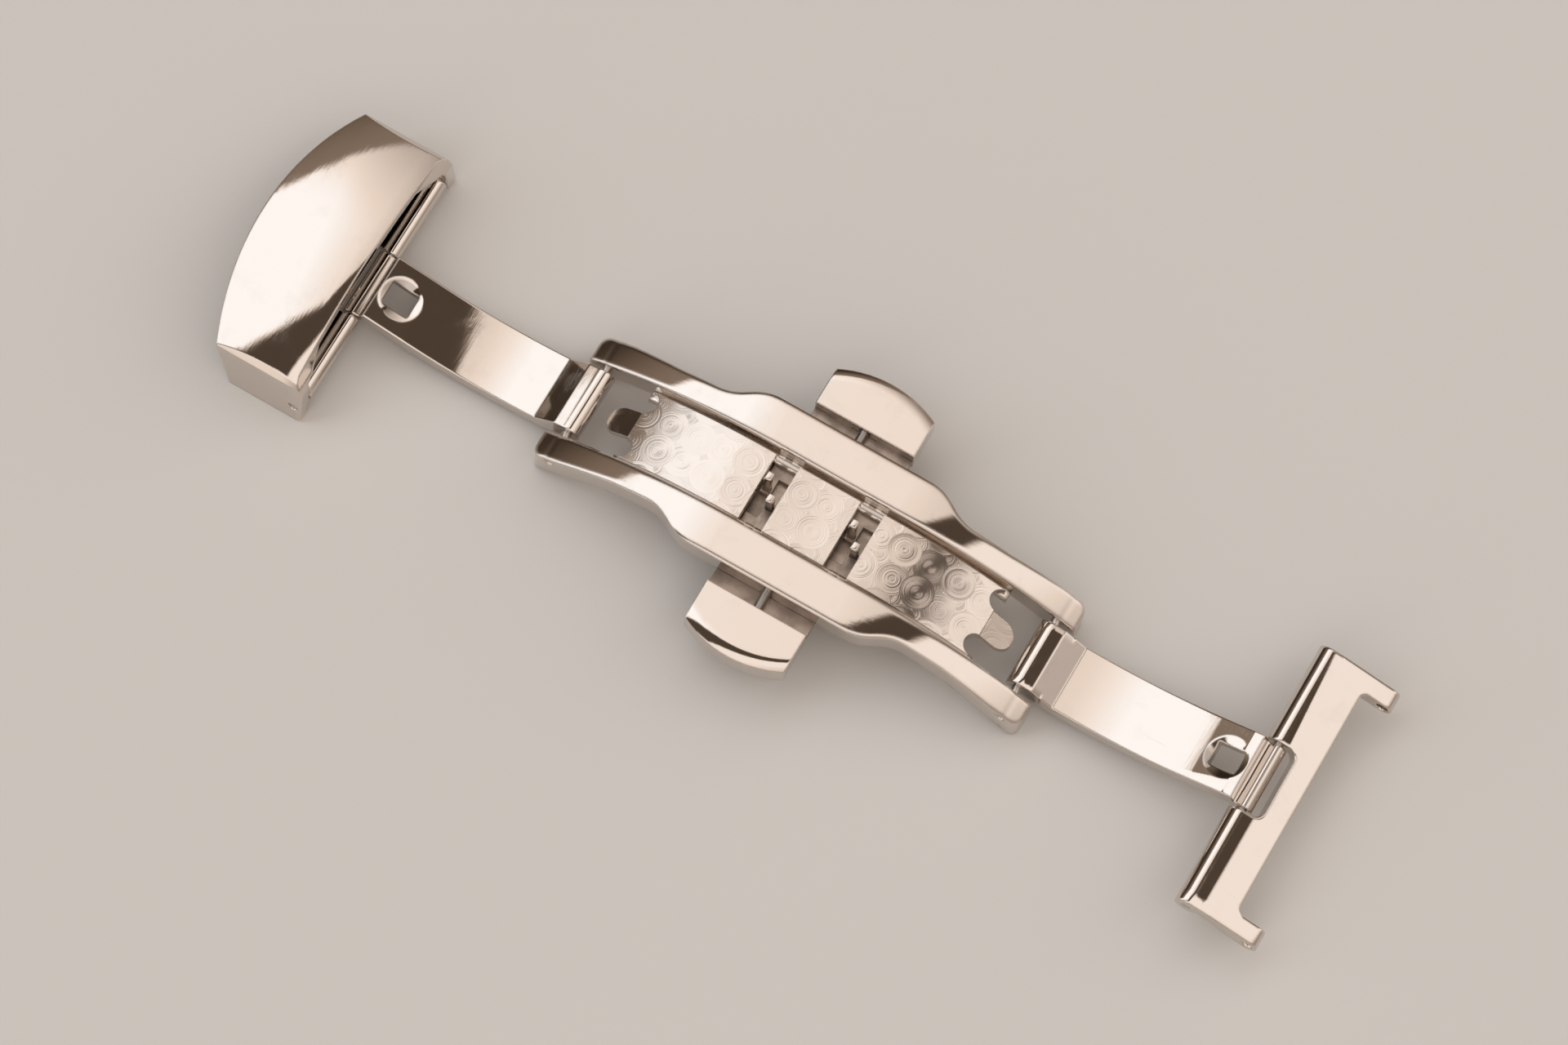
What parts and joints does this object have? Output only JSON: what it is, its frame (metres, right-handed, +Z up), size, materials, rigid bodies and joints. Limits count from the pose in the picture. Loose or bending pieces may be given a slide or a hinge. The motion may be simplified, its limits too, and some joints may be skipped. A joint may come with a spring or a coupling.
{
  "type": "deployant watch strap clasp",
  "caption": "Butterfly deployant clasp for a leather watch strap, laid open, with sprung side push buttons, folding arms, a lug bar and a domed strap cover.",
  "frame": {"origin": "on the table under the middle of the whole open clasp", "axes": "+X along the open clasp from the cover to the lug bar, +Y across the strap, +Z up"},
  "size_m": [0.0844, 0.0228, 0.0071],
  "materials": {
    "polished_steel": "mirror polished",
    "perlage_steel": "overlapping circular brushing",
    "dull_steel": "stamped, unpolished",
    "pin_steel": "turned"
  },
  "bodies": {
    "frame": {"upper_side_rail": "polished_steel", "lower_side_rail": "polished_steel", "base_plate": "dull_steel", "frame_rivets": "pin_steel", "left_perlage_plate": "perlage_steel", "middle_perlage_plate": "perlage_steel", "right_perlage_plate": "perlage_steel", "left_pivot_pin": "pin_steel", "right_pivot_pin": "pin_steel", "upper_guide_pin": "pin_steel", "lower_guide_pin": "pin_steel"},
    "upper_pusher": {"upper_pusher_cap": "polished_steel", "upper_latch_slider": "dull_steel", "upper_return_spring": "pin_steel"},
    "lower_pusher": {"lower_pusher_cap": "polished_steel", "lower_latch_slider": "dull_steel", "lower_return_spring": "pin_steel"},
    "left_arm": {"left_arm": "polished_steel"},
    "right_arm": {"right_arm": "polished_steel"},
    "strap_plate": {"strap_plate": "polished_steel", "strap_tang": "polished_steel", "left_hinge_pin": "pin_steel"},
    "cover": {"strap_cover": "polished_steel"},
    "lug_bar": {"lug_bar": "polished_steel", "right_hinge_pin": "pin_steel"}
  },
  "joints": [
    {"name": "upper_pusher_slide", "type": "slide", "parent": "frame", "child": "upper_pusher", "axis": [0, -1, 0], "range_m": [0, 0.0008], "stiffness_N_per_m": 400},
    {"name": "lower_pusher_slide", "type": "slide", "parent": "frame", "child": "lower_pusher", "axis": [0, 1, 0], "range_m": [0, 0.0008], "stiffness_N_per_m": 400},
    {"name": "left_arm_fold", "type": "hinge", "parent": "frame", "child": "left_arm", "pos_m": [-0.01643, 0, 0.00276], "axis": [0, 1, 0], "range_deg": [0, 167.3]},
    {"name": "strap_plate_hinge", "type": "hinge", "parent": "left_arm", "child": "strap_plate", "pos_m": [-0.03381, 0, 0.00182], "axis": [0, -1, 0], "range_deg": [0, 167.3]},
    {"name": "cover_lid", "type": "hinge", "parent": "strap_plate", "child": "cover", "pos_m": [-0.03381, 0, 0.00182], "axis": [0, -1, 0], "range_deg": [-60, 0]},
    {"name": "right_arm_fold", "type": "hinge", "parent": "frame", "child": "right_arm", "pos_m": [0.01927, 0, 0.00276], "axis": [0, -1, 0], "range_deg": [-6.7, 160.6]},
    {"name": "lug_bar_hinge", "type": "hinge", "parent": "right_arm", "child": "lug_bar", "pos_m": [0.03664, 0, 0.00386], "axis": [0, 1, 0], "range_deg": [-60, 145]}
  ],
  "couplings": [
    {"joint": "strap_plate_hinge", "follows": "left_arm_fold", "ratio": 1}
  ]
}
